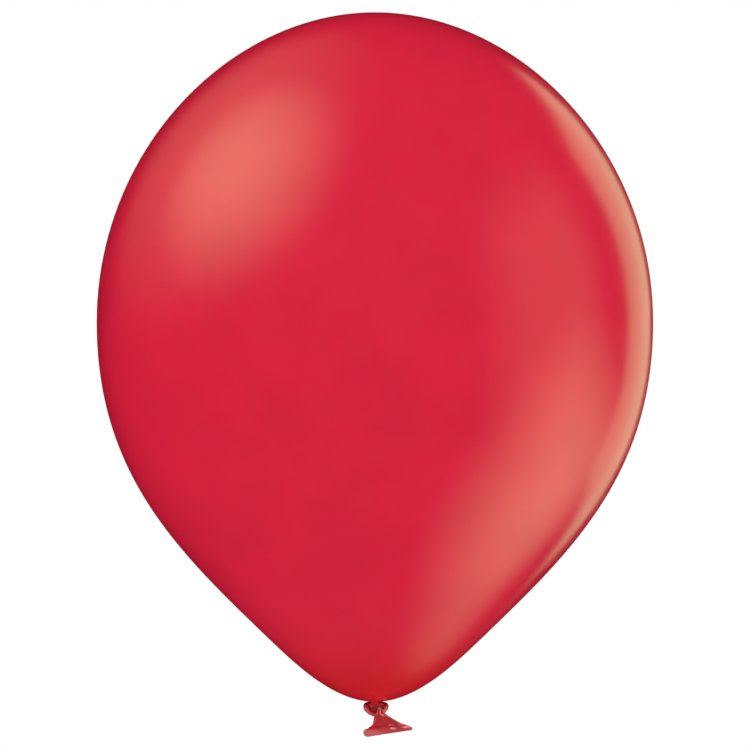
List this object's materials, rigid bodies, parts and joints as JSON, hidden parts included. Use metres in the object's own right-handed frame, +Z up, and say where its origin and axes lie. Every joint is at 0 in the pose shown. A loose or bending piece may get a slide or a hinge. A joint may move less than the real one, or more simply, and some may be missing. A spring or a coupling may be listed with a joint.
{
  "type": "latex balloon",
  "caption": "Inflated pear-shaped latex balloon, tied off at the neck with an overhand knot, with a short flattened tail that ends in a rolled lip.",
  "frame": {"origin": "the tie point: the waist of the neck, on the balloon's axis, between the film and the knot", "axes": "+Z runs up the balloon's axis to the crown; the flat tail faces -Y, and its long thin end points to +X"},
  "size_m": [0.2999, 0.3, 0.3911],
  "materials": {
    "stretched_film": "opaque pastel red latex, stretched thin, soft satin gloss",
    "slack_latex": "the same red latex unstretched, darker, thicker and pleated where it is gathered, with a waxy gloss"
  },
  "bodies": {
    "envelope": {"envelope_film": "stretched_film", "neck_gather": "slack_latex"},
    "knot": {"neck_stem": "slack_latex", "knot_loop": "slack_latex", "knot_tuck": "slack_latex"},
    "tail_root": {"tail_root": "slack_latex"},
    "tail": {"tail_sleeve": "slack_latex", "rolled_lip": "slack_latex"}
  },
  "joints": [
    {"name": "neck_twist", "type": "hinge", "parent": "envelope", "child": "knot", "pos_m": [0, 0, 0], "axis": [0, 0, 1], "range_deg": [-120, 120], "stiffness_Nm_per_rad": 0.002},
    {"name": "tail_sway", "type": "hinge", "parent": "knot", "child": "tail_root", "pos_m": [0.0033, -0.0043, -0.0086], "axis": [0, 1, 0], "range_deg": [-20, 20], "stiffness_Nm_per_rad": 0.001},
    {"name": "tail_fold", "type": "hinge", "parent": "tail_root", "child": "tail", "pos_m": [0.0042, -0.0043, -0.0106], "axis": [0.9659, 0, 0.2588], "range_deg": [-75, 75], "stiffness_Nm_per_rad": 0.001}
  ]
}
